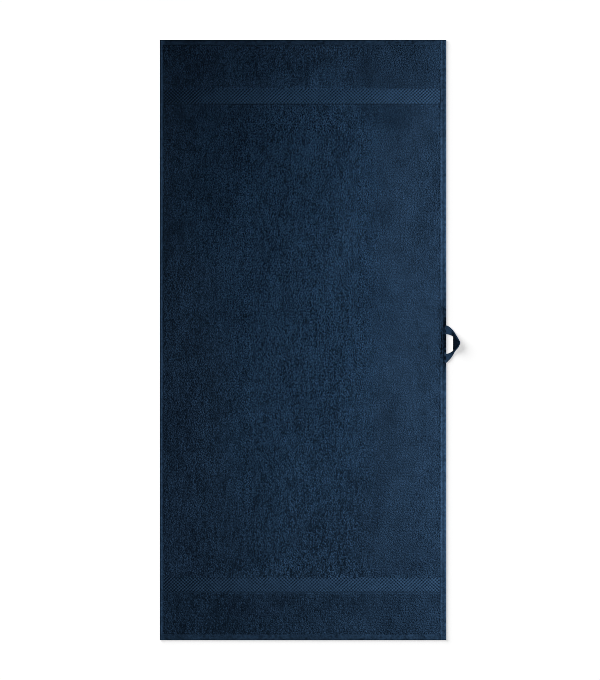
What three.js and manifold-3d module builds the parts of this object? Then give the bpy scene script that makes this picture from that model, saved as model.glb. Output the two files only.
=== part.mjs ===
// A terry hand towel lying flat, with a hanging loop of folded tape sewn into its right side hem.
// Millimetres. x runs across the cloth, y along it, and z up from the surface that it lies on.
// The origin is at the middle of the cloth, on its underside.
import * as THREE from 'three';
import Module from 'manifold-3d';
import { mergeVertices } from 'three/addons/utils/BufferGeometryUtils.js';

// Driving dimensions of the cloth
const clothWidth = 500;
const clothLength = 1048;
const pileTop = 3.8; // the tips of the upper terry loops
const pileSlope = 1.8; // how far the pile takes to rise beside flat weave
const cellAcross = 25; // spacing of the height steps in the pile
const cellAlong = 29;

// The two flat woven borders, measured from the middle of the cloth
const borderInner = 413;
const borderOuter = 440;
const borderTop = 2.3;
const borderUnder = 0.5; // the flat weave stands clear of the surface by this
const borderHemDrop = 0.3; // a side hem is lower by this where a border runs into it

// Sections through the four hems: inset from the cloth's edge, upper height and lower height
const rightHem = [
  { inset: 0, top: 2.3, under: 0.7 },
  { inset: 0.8, top: 3.1, under: 0 },
  { inset: 3.6, top: 3.2, under: 0 },
  { inset: 5.3, top: 2.8, under: 0 }, // stitch groove
  { inset: 7.0, top: 3.2, under: 0 },
  { inset: 9.4, top: 3.3, under: 0 }, // turned edge of the hem
  { inset: 10.2, top: 2.9, under: 0 },
];
const leftHem = [
  { inset: 0, top: 2.1, under: 0.7 },
  { inset: 0.8, top: 2.9, under: 0 },
  { inset: 4.4, top: 3.0, under: 0 },
  { inset: 5.4, top: 2.6, under: 0 },
];
const topHem = [
  { inset: 0, top: 2.1, under: 0.7 },
  { inset: 0.8, top: 2.9, under: 0 },
  { inset: 5.6, top: 3.1, under: 0 },
  { inset: 7.4, top: 2.6, under: 0 }, // stitch groove
  { inset: 9.0, top: 2.9, under: 0 },
];
const bottomHem = [
  { inset: 0, top: 2.1, under: 0.7 },
  { inset: 0.8, top: 2.9, under: 0 },
  { inset: 8.8, top: 3.1, under: 0 },
  { inset: 11.4, top: 2.6, under: 0 }, // stitch groove
];

// Slow waves in the height of the pile: wavelengths across and along, start of the wave, height
const pileWaves = [
  { across: 310, along: 880, start: 0.15, height: 0.16 },
  { across: -190, along: 330, start: 0.62, height: 0.13 },
  { across: 92, along: -415, start: 0.31, height: 0.1 },
  { across: 133, along: 171, start: 0.84, height: 0.1 },
  { across: -71, along: 118, start: 0.47, height: 0.07 },
];

// Driving dimensions of the hanging loop
const tapeWidth = 15;
const tapeThickness = 1.1;
const tapeLevel = 1.5; // middle of the tape where it lies in the hem
const tapeInHem = 8; // length of each end that is sewn into the hem
const loopMiddle = -5.3; // y of the loop's tip
const loopReach = 26.1; // along the tape's plane, from the hem to the outer edge of the middle
const outerLead = 3.5; // how far a leg's outer edge runs on in line with its fold
const innerLead = 9; // and its inner edge
const outerDraw = 0.8; // how far the outer edge is drawn in beside its fold
const innerDraw = 1.6;
const outerBowAt = 0.45; // where each edge bows, as a share of the way from the hem to the fold
const innerBowAt = 0.35;
const innerBow = 0.92; // the inner edge's place there, as a share of its place at the hem
const pocketMouth = 1; // how far the room cut for a leg runs out past the cloth's edge
const liftStart = 6.5; // from the hem to where the loop starts to lift
const liftRadius = 7;
const liftAngle = THREE.MathUtils.degToRad(35);
const seamGap = 0.3; // between the tape and the cloth round it

// The two legs of the loop: side of the loop's middle, edges where they cross the cloth's edge,
// and how far their outer edges bow before the fold
const legs = [
  { side: 1, outer: 30.9, inner: 15.5, bow: 31 },
  { side: -1, outer: 34.8, inner: 19.1, bow: 31 },
];

// The two ends of each mitre fold, on the tape's two edges: out from the hem, along from the
// loop's middle, and radius of the fold at the middle of the tape's thickness
const foldEnds = [
  { out: loopReach - tapeWidth, along: 19.95, radius: 0.75 },
  { out: loopReach, along: 0.6, radius: 0.95 },
];

// Steps in the mesh of the tape
const tapeColumns = 6;
const legSteps = 9;
const foldSteps = 6;
const middleSteps = 6;

const wasm = await Module();
wasm.setup();

// Height in a hem's section at an inset from the edge, with null where the pile has begun
function hemHeight(section, inset, level) {
  const last = section[section.length - 1];
  if (inset > last.inset) {
    return null;
  }
  const next = section.findIndex((row) => row.inset >= inset);
  if (next === 0) {
    return section[0][level];
  }
  const from = section[next - 1];
  const to = section[next];
  const share = (inset - from.inset) / (to.inset - from.inset);
  return from[level] + share * (to[level] - from[level]);
}

// The four hems with the inset of a point from each
function hemsAt(x, y) {
  return [
    { section: leftHem, inset: x + clothWidth / 2 },
    { section: rightHem, inset: clothWidth / 2 - x },
    { section: topHem, inset: clothLength / 2 - y },
    { section: bottomHem, inset: y + clothLength / 2 },
  ];
}

function inBorder(y) {
  return Math.abs(y) >= borderInner && Math.abs(y) <= borderOuter;
}

// Upper surface: pile with slow waves, cut down to the flat weave of the borders and hems
function upperHeight(x, y) {
  let height = pileTop;
  for (const wave of pileWaves) {
    const turns = x / wave.across + y / wave.along + wave.start;
    height += wave.height * Math.sin(2 * Math.PI * turns);
  }
  if (inBorder(y)) {
    height = borderTop;
  }
  for (const { section, inset } of hemsAt(x, y)) {
    const hem = hemHeight(section, inset, 'top');
    if (hem !== null) {
      height = Math.min(height, inBorder(y) ? hem - borderHemDrop : hem);
    }
  }
  return height;
}

// Lower surface: flat on the surface but for the borders and the rounded outer edges
function lowerHeight(x, y) {
  let height = inBorder(y) ? borderUnder : 0;
  for (const { section, inset } of hemsAt(x, y)) {
    const hem = hemHeight(section, inset, 'under');
    height = Math.max(height, hem ?? 0);
  }
  return height;
}

// Even steps between two places, both ends left out
function stepsBetween(from, to, spacing) {
  const count = Math.ceil((to - from) / spacing);
  return Array.from({ length: count - 1 }, (_, i) => from + ((i + 1) * (to - from)) / count);
}

// Lines of the height grid across the cloth, and then along it
function linesAcross() {
  const fromLeft = leftHem.map((row) => row.inset - clothWidth / 2);
  const fromRight = rightHem.map((row) => clothWidth / 2 - row.inset).reverse();
  const pileFrom = fromLeft[fromLeft.length - 1] + pileSlope;
  const pileTo = fromRight[0] - pileSlope;
  return [...fromLeft, pileFrom, ...stepsBetween(pileFrom, pileTo, cellAcross), pileTo, ...fromRight];
}

function linesAlong() {
  const fromBottom = bottomHem.map((row) => row.inset - clothLength / 2);
  const fromTop = topHem.map((row) => clothLength / 2 - row.inset).reverse();
  const border = [borderInner - pileSlope, borderInner, borderOuter, borderOuter + pileSlope];
  const lowEnd = fromBottom[fromBottom.length - 1] + pileSlope;
  const highEnd = fromTop[0] - pileSlope;
  const lowBorder = border.map((y) => -y).reverse();
  return [
    ...fromBottom,
    lowEnd,
    ...stepsBetween(lowEnd, lowBorder[0], cellAlong),
    ...lowBorder,
    ...stepsBetween(lowBorder[3], border[0], cellAlong),
    ...border,
    ...stepsBetween(border[3], highEnd, cellAlong),
    highEnd,
    ...fromTop,
  ];
}

// A closed slab between two grids of points that share their rows and columns
function slabGeometry(upper, lower) {
  const rows = upper.length;
  const columns = upper[0].length;
  const points = [...upper.flat(), ...lower.flat()];
  const top = (i, j) => i * columns + j;
  const under = (i, j) => rows * columns + i * columns + j;
  const faces = [];
  const quad = (a, b, c, d) => faces.push(a, b, c, a, c, d);
  for (let i = 0; i < rows - 1; i += 1) {
    for (let j = 0; j < columns - 1; j += 1) {
      quad(top(i, j), top(i, j + 1), top(i + 1, j + 1), top(i + 1, j));
      quad(under(i, j), under(i + 1, j), under(i + 1, j + 1), under(i, j + 1));
    }
  }
  for (let j = 0; j < columns - 1; j += 1) {
    quad(under(0, j), under(0, j + 1), top(0, j + 1), top(0, j));
    quad(top(rows - 1, j), top(rows - 1, j + 1), under(rows - 1, j + 1), under(rows - 1, j));
  }
  for (let i = 0; i < rows - 1; i += 1) {
    quad(top(i, 0), top(i + 1, 0), under(i + 1, 0), under(i, 0));
    quad(under(i, columns - 1), under(i + 1, columns - 1), top(i + 1, columns - 1), top(i, columns - 1));
  }
  const geometry = new THREE.BufferGeometry();
  const places = points.flatMap((point) => [point.x, point.y, point.z]);
  geometry.setAttribute('position', new THREE.Float32BufferAttribute(places, 3));
  geometry.setIndex(faces);
  return geometry;
}

function clothGeometry() {
  const across = linesAcross();
  const grid = (height) =>
    linesAlong().map((y) => across.map((x) => new THREE.Vector3(x, y, height(x, y))));
  return slabGeometry(grid(upperHeight), grid(lowerHeight));
}

// Lifts the loop: a point that is out from the hem, along, and off the legs' plane goes round an
// arc whose axis runs along the hem, and then straight on at the lift angle
function lifted({ x: out, y: along, z: off }) {
  const turn = THREE.MathUtils.clamp((out - liftStart) / liftRadius, 0, liftAngle);
  const before = Math.min(out, liftStart);
  const after = Math.max(0, out - liftStart - liftRadius * liftAngle);
  const x = before + liftRadius * Math.sin(turn) + after * Math.cos(turn) - off * Math.sin(turn);
  const z = liftRadius * (1 - Math.cos(turn)) + after * Math.sin(turn) + off * Math.cos(turn);
  return new THREE.Vector3(clothWidth / 2 + x, loopMiddle + along, tapeLevel + z);
}

// Directions of a leg's fold: along the line towards the loop's tip, and away from the hem
function foldFrame(leg) {
  const [from, to] = foldEnds.map((end) => new THREE.Vector3(end.out, leg.side * end.along, 0));
  const along = to.sub(from).normalize();
  const away = new THREE.Vector3(-along.y * leg.side, along.x * leg.side, 0);
  return { along, away };
}

// A row of one face of the tape after part of its half turn round a leg's fold line. The row has
// slid along the line as it does in a slanting fold. A row is its two ends, each out, along and off,
// and rise is the face's height over the middle of the tape's thickness, as it lies in the legs
function foldRow(leg, turn, rise) {
  const { along, away } = foldFrame(leg);
  return foldEnds.map(({ out, along: start, radius }) => {
    const off = -radius - (radius + rise) * Math.cos(turn);
    const place = new THREE.Vector3(out, leg.side * start, off);
    place.addScaledVector(away, (radius + rise) * Math.sin(turn));
    return place.addScaledVector(along, -radius * turn * Math.abs(along.y / along.x));
  });
}

// Rows of a leg from its end in the hem to its fold, each row from the outer to the inner edge
function legRows(leg, rise) {
  const { along, away } = foldFrame(leg);
  const [outer, inner] = foldRow(leg, Math.PI, rise);
  const outerEdge = new THREE.CubicBezierCurve3(
    new THREE.Vector3(0, leg.side * leg.outer, rise),
    new THREE.Vector3(outer.x * outerBowAt, leg.side * leg.bow, rise),
    outer.clone().addScaledVector(along, -outerLead).addScaledVector(away, -outerDraw),
    outer,
  );
  const innerEdge = new THREE.CubicBezierCurve3(
    new THREE.Vector3(0, leg.side * leg.inner, rise),
    new THREE.Vector3(inner.x * innerBowAt, leg.side * leg.inner * innerBow, rise),
    inner.clone().addScaledVector(along, -innerLead).addScaledVector(away, -innerDraw),
    inner,
  );
  const rows = [1, 0.5].map((share) => [
    new THREE.Vector3(-share * tapeInHem, leg.side * leg.outer, rise),
    new THREE.Vector3(-share * tapeInHem, leg.side * leg.inner, rise),
  ]);
  for (let step = 0; step <= legSteps; step += 1) {
    rows.push([outerEdge.getPoint(step / legSteps), innerEdge.getPoint(step / legSteps)]);
  }
  return rows;
}

// Rows round a fold between the leg above and the middle below
function foldRows(leg, rise) {
  const rows = [];
  for (let step = foldSteps - 1; step > 0; step -= 1) {
    rows.push(foldRow(leg, (Math.PI * step) / foldSteps, rise));
  }
  return rows;
}

// Rows of the middle, which fan from the upper fold line to the lower one
function middleRows(rise) {
  const [upper, lower] = legs.map((leg) => foldRow(leg, 0, rise));
  const rows = [];
  for (let step = 0; step <= middleSteps; step += 1) {
    rows.push(upper.map((end, edge) => end.clone().lerp(lower[edge], step / middleSteps)));
  }
  return rows;
}

// One face of the tape as a grid of points, from one end in the hem to the other
function tapeFace(rise) {
  const [upper, lower] = legs;
  const rows = [
    ...legRows(upper, rise),
    ...foldRows(upper, rise),
    ...middleRows(rise),
    ...foldRows(lower, rise).reverse(),
    ...legRows(lower, rise).reverse(),
  ];
  return rows.map(([outer, inner]) =>
    Array.from({ length: tapeColumns + 1 }, (_, j) => lifted(outer.clone().lerp(inner, j / tapeColumns))),
  );
}

function loopGeometry() {
  return slabGeometry(tapeFace(tapeThickness / 2), tapeFace(-tapeThickness / 2));
}

// The room that a leg takes in the hem, with the gap all round it and its mouth past the edge
function pocketGeometry(leg) {
  const length = tapeInHem + seamGap + pocketMouth;
  const width = leg.outer - leg.inner + 2 * seamGap;
  const room = new THREE.BoxGeometry(length, width, tapeThickness + 2 * seamGap);
  const x = clothWidth / 2 - tapeInHem - seamGap + length / 2;
  const y = loopMiddle + (leg.side * (leg.outer + leg.inner)) / 2;
  return room.translate(x, y, tapeLevel);
}

// Closed solids for cutting, and back again
function toSolid(geometry) {
  const bare = geometry.clone();
  bare.deleteAttribute('normal');
  bare.deleteAttribute('uv');
  const merged = mergeVertices(bare, 1e-4);
  const vertProperties = new Float32Array(merged.attributes.position.array);
  const triVerts = new Uint32Array(merged.index.array);
  return new wasm.Manifold(new wasm.Mesh({ numProp: 3, vertProperties, triVerts }));
}

function toGeometry(solid) {
  const { vertProperties, triVerts } = solid.getMesh();
  const geometry = new THREE.BufferGeometry();
  geometry.setAttribute('position', new THREE.BufferAttribute(vertProperties, 3));
  geometry.setIndex(new THREE.BufferAttribute(triVerts, 1));
  return geometry;
}

function namedMesh(name, geometry, material) {
  geometry.computeVertexNormals();
  const mesh = new THREE.Mesh(geometry, material);
  mesh.name = name;
  return mesh;
}

const terry = new THREE.MeshStandardMaterial({ color: 0x192a3c, roughness: 0.95, metalness: 0 });
const tape = new THREE.MeshStandardMaterial({ color: 0x1d3048, roughness: 0.85, metalness: 0 });

let cloth = toSolid(clothGeometry());
for (const leg of legs) {
  cloth = cloth.subtract(toSolid(pocketGeometry(leg)));
}

const towel = new THREE.Group();
towel.name = 'towel';
towel.add(namedMesh('towel_cloth', toGeometry(cloth), terry));
towel.add(namedMesh('hanging_loop', loopGeometry(), tape));

export default towel;
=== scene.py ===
# A terry hand towel laid flat and seen from straight above, with two dobby borders, turned and
# stitched hems, and a hanging loop of folded tape. The scene is in metres. The sizes below are in
# millimetres in the towel's own frame: x across the cloth, y along it, z up from the surface.
import bpy
import numpy as np
from mathutils import Matrix, Vector


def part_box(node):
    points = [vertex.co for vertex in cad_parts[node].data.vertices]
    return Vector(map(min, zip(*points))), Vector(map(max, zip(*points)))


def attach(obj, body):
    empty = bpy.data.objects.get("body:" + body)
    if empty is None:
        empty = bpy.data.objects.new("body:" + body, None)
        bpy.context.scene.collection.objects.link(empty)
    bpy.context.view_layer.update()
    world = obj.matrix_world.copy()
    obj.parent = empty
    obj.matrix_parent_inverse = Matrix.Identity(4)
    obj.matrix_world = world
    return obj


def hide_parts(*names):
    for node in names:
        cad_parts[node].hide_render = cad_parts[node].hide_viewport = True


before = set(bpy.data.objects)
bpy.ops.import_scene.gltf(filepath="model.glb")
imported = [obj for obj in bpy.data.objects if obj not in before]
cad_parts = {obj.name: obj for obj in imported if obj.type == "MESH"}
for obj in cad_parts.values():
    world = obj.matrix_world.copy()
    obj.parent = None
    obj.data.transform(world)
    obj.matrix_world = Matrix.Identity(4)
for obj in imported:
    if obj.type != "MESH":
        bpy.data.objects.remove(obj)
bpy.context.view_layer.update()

mm = 0.001
draws = np.random.default_rng(41)

# Size of the cloth, from the frame
clothLow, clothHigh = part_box("towel_cloth")
halfWide = (clothHigh.x - clothLow.x) / 2 / mm
halfLong = (clothHigh.y - clothLow.y) / 2 / mm
print("frame: cloth", round(halfWide * 2, 1), "x", round(halfLong * 2, 1), "mm")


# Camera

cameraView = {
    "photoPixel": 1.7466,  # mm of cloth in one pixel, from its length over 600.0 pixels
    "clothMiddle": (303.08, 339.99),  # pixel where the middle of the cloth lies
    "picture": (600, 680),
    "height": 3000,
    "farthest": 20,  # metres
}


# Straight down, with the longer side of the picture as the orthographic scale.
def addCamera(view):
    data = bpy.data.cameras.new("camera")
    data.type = "ORTHO"
    data.ortho_scale = view["picture"][1] * view["photoPixel"] * mm
    data.clip_end = view["farthest"]
    camera = bpy.data.objects.new("camera", data)
    acrossPixels = view["picture"][0] / 2 - view["clothMiddle"][0]
    alongPixels = view["clothMiddle"][1] - view["picture"][1] / 2
    place = (acrossPixels * view["photoPixel"], alongPixels * view["photoPixel"], view["height"])
    camera.location = Vector(place) * mm
    bpy.context.scene.collection.objects.link(camera)
    bpy.context.scene.camera = camera


addCamera(cameraView)


# Shared helpers for meshes

# Quads of a grid whose rows run up y and columns up x, anticlockwise from above.
def gridFaces(rows, columns):
    first = np.arange(rows - 1)[:, None] * columns + np.arange(columns - 1)
    return np.stack([first, first + 1, first + columns + 1, first + columns], -1).reshape(-1, 4)


# A mesh from points in mm, arrays of faces of one size each, and a map place per corner.
def makePiece(name, points, faceSets, corners, material, values=None):
    mesh = bpy.data.meshes.new(name)
    corner = np.concatenate([faces.ravel() for faces in faceSets])
    sizes = np.concatenate([np.full(len(faces), faces.shape[1]) for faces in faceSets])
    starts = np.concatenate([[0], np.cumsum(sizes)[:-1]])
    mesh.vertices.add(len(points))
    mesh.vertices.foreach_set("co", (points * mm).astype(np.float32).ravel())
    mesh.loops.add(len(corner))
    mesh.loops.foreach_set("vertex_index", corner.astype(np.int32))
    mesh.polygons.add(len(sizes))
    mesh.polygons.foreach_set("loop_start", starts.astype(np.int32))
    mesh.polygons.foreach_set("use_smooth", np.ones(len(sizes), bool))
    mesh.update(calc_edges=True)
    mesh.uv_layers.new(name="OFBake").data.foreach_set("uv", corners.astype(np.float32).ravel())
    for key, value in (values or {}).items():
        mesh.attributes.new(key, "FLOAT", "POINT").data.foreach_set("value", value.astype(np.float32))
    mesh.validate()
    mesh.materials.append(material)
    piece = bpy.data.objects.new(name, mesh)
    bpy.context.scene.collection.objects.link(piece)
    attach(piece, "root")
    print("made", name, "with", int((sizes - 2).sum()), "triangles")
    return piece


# Outward faces of a tube of closed rings and of its two ends, and their places on the map: the
# sides spread around and along, and the ends as circles beside them.
def tubeFaces(rows, ring, layout):
    i, j = np.meshgrid(np.arange(rows - 1), np.arange(ring), indexing="ij")
    i, j = i.ravel(), j.ravel()
    after = (j + 1) % ring
    sides = np.stack([i * ring + j, i * ring + after, (i + 1) * ring + after, (i + 1) * ring + j], -1)
    ends = np.array([np.arange(ring)[::-1], (rows - 1) * ring + np.arange(ring)])
    around = np.stack([j, j + 1, j + 1, j], -1) / ring
    along = np.stack([i, i, i + 1, i + 1], -1) / rows
    sidePlaces = layout["start"] + np.stack([around, along], -1) * layout["size"]
    spin = 2 * np.pi * np.arange(ring) / ring
    circle = layout["radius"] * np.stack([np.cos(spin), np.sin(spin)], -1)
    endPlaces = np.stack([circle[::-1] + layout["first"], circle + layout["last"]])
    return [sides, ends], [sidePlaces, endPlaces]


# Faces of a number of copies of a mesh, a step of points apart, and their map places, with
# each copy in a cell of its own.
def copied(faceSets, placeSets, count=1, step=0):
    number = np.arange(count)
    columns = int(np.ceil(np.sqrt(count)))
    cell = np.stack([number % columns, number // columns], -1)[:, None, None]
    first = number[:, None, None] * step
    faces = [(first + part).reshape(-1, part.shape[1]) for part in faceSets]
    corners = [((cell + places) / columns).reshape(-1, 2) for places in placeSets]
    return faces, np.concatenate(corners)


# 0 below 0, 1 above 1, and 3t^2 - 2t^3 between them.
def easeStep(t):
    t = np.clip(t, 0, 1)
    return t * t * (3 - 2 * t)


cloudTables = {}
cloudCells = 512  # cells on each side of a table, which repeats beyond them
cloudMiddle = 200.5


# Smooth random field from -1 to 1: random values at the corners of cells, eased between.
def cloudy(x, y, size, seed):
    if seed not in cloudTables:
        cloudTables[seed] = np.random.default_rng(seed).uniform(-1, 1, (cloudCells, cloudCells))
    table = cloudTables[seed]
    u, v = x / size + cloudMiddle, y / size + cloudMiddle
    i, j = np.floor(u).astype(int), np.floor(v).astype(int)
    a, b = easeStep(u - i), easeStep(v - j)
    i, j = i % (cloudCells - 1), j % (cloudCells - 1)
    low = table[i, j] * (1 - a) + table[i + 1, j] * a
    high = table[i, j + 1] * (1 - a) + table[i + 1, j + 1] * a
    return low * (1 - b) + high * b


# Shared helpers for materials

# A rough material without shine, as cotton is.
def newMaterial(name, roughness=0.9):
    material = bpy.data.materials.new(name)
    material.use_nodes = True
    shader = material.node_tree.nodes["Principled BSDF"]
    shader.inputs["Roughness"].default_value = roughness
    shader.inputs["Specular IOR Level"].default_value = 0.0
    return material, material.node_tree, shader


# A node with its settings, and with each input joined to a socket or set to a value.
def addNode(tree, kind, settings=None, inputs=None):
    node = tree.nodes.new(kind)
    for key, value in (settings or {}).items():
        setattr(node, key, value)
    for key, value in (inputs or {}).items():
        if isinstance(value, bpy.types.NodeSocket):
            tree.links.new(value, node.inputs[key])
        else:
            node.inputs[key].default_value = value
    return node


# One step of arithmetic on two values, with a third one where the operation takes it.
def addMath(tree, operation, first, second=0.0, third=0.0, clamp=False):
    settings = {"operation": operation, "use_clamp": clamp}
    return addNode(tree, "ShaderNodeMath", settings, {0: first, 1: second, 2: third}).outputs[0]


# Low colour where the share is 0, high colour where it is 1, and a mix between.
def blendColour(tree, share, low, high):
    settings = {"data_type": "RGBA"}
    return addNode(tree, "ShaderNodeMix", settings, {0: share, 6: low, 7: high}).outputs[2]


# A node group with named sockets, each given as a name, a kind and, for inputs, a value.
def newGroup(name, inputs, outputs):
    group = bpy.data.node_groups.new(name, "ShaderNodeTree")
    for label, kind, value in inputs:
        socket = group.interface.new_socket(label, in_out="INPUT", socket_type="NodeSocket" + kind)
        socket.default_value = value
    for label, kind in outputs:
        group.interface.new_socket(label, in_out="OUTPUT", socket_type="NodeSocket" + kind)
    return group, group.nodes.new("NodeGroupInput"), group.nodes.new("NodeGroupOutput")


# How much of the fine and of the broad noise goes into a tone, and what comes off their sum
yarnMix = {"fine": 1.25, "broad": 0.45, "off": 0.35}


# Colour of dyed cotton: low to high colour by two scales of cloudy noise and a given shift.
def yarnToneGroup():
    inputs = [
        ("Low", "Color", (0, 0, 0, 1)), ("High", "Color", (0, 0, 0, 1)),
        ("Fibre scale", "Float", 900), ("Patch scale", "Float", 40), ("Shift", "Float", 0),
    ]
    group, given, made = newGroup("yarnTone", inputs, [("Color", "Color")])
    place = addNode(group, "ShaderNodeTexCoord").outputs["Object"]
    fine = addNode(group, "ShaderNodeTexNoise", {"noise_dimensions": "3D"}, {
        "Vector": place, "Scale": given.outputs["Fibre scale"], "Detail": 2, "Roughness": 0.6})
    broad = addNode(group, "ShaderNodeTexNoise", {"noise_dimensions": "3D"}, {
        "Vector": place, "Scale": given.outputs["Patch scale"], "Detail": 3, "Roughness": 0.55})
    finePart = addMath(group, "MULTIPLY", fine.outputs[0], yarnMix["fine"])
    broadPart = addMath(group, "MULTIPLY", broad.outputs[0], yarnMix["broad"])
    centred = addMath(group, "SUBTRACT", addMath(group, "ADD", finePart, broadPart), yarnMix["off"])
    share = addMath(group, "ADD", centred, given.outputs["Shift"], clamp=True)
    tone = blendColour(group, share, given.outputs["Low"], given.outputs["High"])
    group.links.new(tone, made.inputs["Color"])
    return group


warpHeight = 0.8  # height of a warp yarn beside that of a weft yarn


# Height of crossing yarns: a row of rounded yarns each way, mixed by which of them is on top.
def plainWeaveGroup():
    inputs = [("Across", "Float", 0.6), ("Along", "Float", 0.6), ("Turn", "Float", 0)]
    group, given, made = newGroup("plainWeave", inputs, [("Height", "Float")])
    place = addNode(group, "ShaderNodeTexCoord").outputs["Object"]
    turned = addNode(group, "ShaderNodeVectorRotate", {"rotation_type": "Z_AXIS"}, {
        "Vector": place, "Angle": given.outputs["Turn"]}).outputs[0]
    axes = addNode(group, "ShaderNodeSeparateXYZ", None, {0: turned}).outputs
    waves = []
    for axis, pitch in ((axes[0], "Across"), (axes[1], "Along")):
        inMillimetres = addMath(group, "MULTIPLY", axis, 1 / mm)
        yarns = addMath(group, "DIVIDE", inMillimetres, given.outputs[pitch])
        waves.append(addMath(group, "SINE", addMath(group, "MULTIPLY", yarns, np.pi)))
    crossing = addMath(group, "MULTIPLY", waves[0], waves[1])
    warp = addMath(group, "MULTIPLY", addMath(group, "ABSOLUTE", waves[0]), warpHeight)
    weft = addMath(group, "ABSOLUTE", waves[1])
    share = addMath(group, "MULTIPLY_ADD", crossing, 0.5, 0.5)
    over = addMath(group, "MULTIPLY", warp, share)
    under = addMath(group, "MULTIPLY", weft, addMath(group, "SUBTRACT", 1.0, share))
    group.links.new(addMath(group, "ADD", over, under), made.inputs["Height"])
    return group


yarnTone = yarnToneGroup()
plainWeave = plainWeaveGroup()


# A shared effect with its values, given back as its outputs.
def useGroup(tree, group, inputs):
    return addNode(tree, "ShaderNodeGroup", {"node_tree": group}, inputs).outputs


# A height from 0 to 1 becomes relief of the given depth in millimetres.
def addBump(tree, shader, height, depth):
    bump = addNode(tree, "ShaderNodeBump", None, {"Height": height, "Distance": depth * mm})
    tree.links.new(bump.outputs[0], shader.inputs["Normal"])


# Reads a value that the mesh holds at its points.
def readValue(tree, name):
    return addNode(tree, "ShaderNodeAttribute", {"attribute_name": name}).outputs["Fac"]


# Dyed colours of the cotton, in linear light: hue times brightness. In a dye, fibres and
# patches are the scales of its two noises, in cells to a metre.
navyHue = (0.44, 1.0, 1.94)


# The navy hue at a brightness, with full cover.
def navy(brightness):
    return tuple(part * brightness for part in navyHue) + (1.0,)


# Navy cotton between its darkest and lightest tone, each a multiple of its brightness.
def dyedColour(tree, dye, shift=0.0):
    low, high = dye["tones"]
    return useGroup(tree, yarnTone, {
        "Low": navy(dye["bright"] * low), "High": navy(dye["bright"] * high),
        "Fibre scale": dye["fibres"], "Patch scale": dye["patches"], "Shift": shift})["Color"]


# Ribbed weave of a piece, whose tone shifts with a value that its mesh holds: painted light and shade that
# follows the relief.
def wovenMaterial(name, piece, value):
    material, tree, shader = newMaterial(name, piece["roughness"])
    shift = addMath(tree, "MULTIPLY", readValue(tree, value), piece["reliefShadeTone"])
    tree.links.new(dyedColour(tree, piece["dye"], shift), shader.inputs["Base Color"])
    ribs = useGroup(tree, plainWeave, piece["ribs"])["Height"]
    addBump(tree, shader, ribs, piece["reliefDepth"])
    return material


# Cloth: the woven ground, with its hems and the beds of the borders

cloth = {
    "groundLevel": 2.3,  # woven ground that the terry loops stand on
    "groundLump": 0.22,
    "lumpSize": 7,
    "edgeLevel": 1.5,  # height of the middle of the folded edge
    "edgeRadius": 1.7,  # of the upper side, and below it that of the lower side
    "underRadius": 0.9,
    "edgeSteps": (0, 0.05, 0.2, 0.45, 0.8, 1.2, 1.7),
    "underLevel": 0.0,
    "bedTop": 1.75,  # ground inside a border, hidden by its figured weave
    "bedUnder": 0.95,
    "bandInner": 413,  # the borders' edges from the middle of the cloth
    "bandOuter": 440,
    "rootGrooveAt": 1.4,  # the bare line below each border, from its lower edge
    "rootGrooveWide": 1.1,
    "rootGrooveDeep": 0.4,
    "grooveChange": 40,  # length over which the groove changes, in depth and in width
    "grooveSpread": 0.5,
    "gapSpread": 0.6,
    # Hems past the rounded edge: inset from the edge, and height of the upper side
    "hems": {
        "right": [(0, 3.0), (1.7, 3.2), (3.2, 3.1), (4.6, 2.75), (5.8, 2.3), (7.4, 2.25),
                  (8.9, 2.95), (9.6, 2.9), (10.8, 2.4), (12.0, 1.9)],
        "left": [(0, 3.7), (1.0, 4.0), (2.2, 3.6), (3.4, 3.1), (4.8, 2.5), (5.3, 2.3), (6.2, 2.2)],
        "top": [(0, 2.8), (1.7, 2.95), (3.6, 3.05), (5.6, 3.0), (6.6, 2.7), (7.5, 2.4), (8.6, 2.3)],
        "bottom": [(0, 2.8), (1.7, 3.0), (4.5, 3.15), (7.4, 3.1), (8.8, 2.8), (10.0, 2.4),
                   (11.2, 2.3)],
    },
    "hemTones": {"right": 0.09, "left": 0.24, "top": -0.1, "bottom": 0.05},  # painted light and shade: each hem lighter or darker by how the light falls on its side
    # Places along the right hem: middle, reach and tone
    "rightHemPlaces": [(8, 75, -0.55), (-285, 95, 0.16), (430, 130, -0.1)],
    "cornerRise": 0.35,  # a side hem lies over an end hem, and is this much higher there
    "hemWave": 0.14,  # unevenness of the hems, broad and fine
    "hemWaveSizes": (13, 4.5),
    "hemWaveFine": 0.6,
    "weaveEnd": 1.2,  # the flat weave fades into the ground this far before a hem's end
    "weaveFade": 0.8,
    "cellAcross": 6,
    "cellAlong": 4,
    # Mesh lines beside the lower and the upper edge of a border
    "linesAtLow": (-4, -2.4, -1.4, -0.5, 0, 0.1),
    "linesAtHigh": (-0.1, 0, 0.6),
    "weave": {"bright": 0.0083, "tones": (0.05, 2.05), "fibres": 210, "patches": 60},
    # painted shade: the ground under the pile is darker than the hem weave, as the gaps between the loops
    # lie in shade
    "ground": {"bright": 0.0067, "tones": (0.5, 1.4), "fibres": 380, "patches": 50},
    "ribs": {"Across": 0.9, "Along": 0.55},
    "lumpScale": 550,
    "reliefDepth": 0.3,
}
borderEdges = ((-cloth["bandOuter"], -cloth["bandInner"]), (cloth["bandInner"], cloth["bandOuter"]))
mapMargin = 0.01


# Distance of each point from the four edges of the cloth.
def insetsOf(x, y):
    return {"right": halfWide - x, "left": halfWide + x, "top": halfLong - y, "bottom": halfLong + y}


# How far a hem reaches in from the edge of the cloth.
def hemWidth(side):
    return cloth["hems"][side][-1][0]


# Height of a hem at an inset, straight between the rows of its section.
def hemTop(side, inset):
    rows = np.array(cloth["hems"][side])
    return np.interp(inset, rows[:, 0], rows[:, 1])


# Whether an inset is within a hem's width.
def inHem(side, inset):
    return inset <= hemWidth(side)


# Whether a point is between the two edges of a border.
def inBorder(y):
    return (np.abs(y) >= cloth["bandInner"]) & (np.abs(y) <= cloth["bandOuter"])


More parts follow.
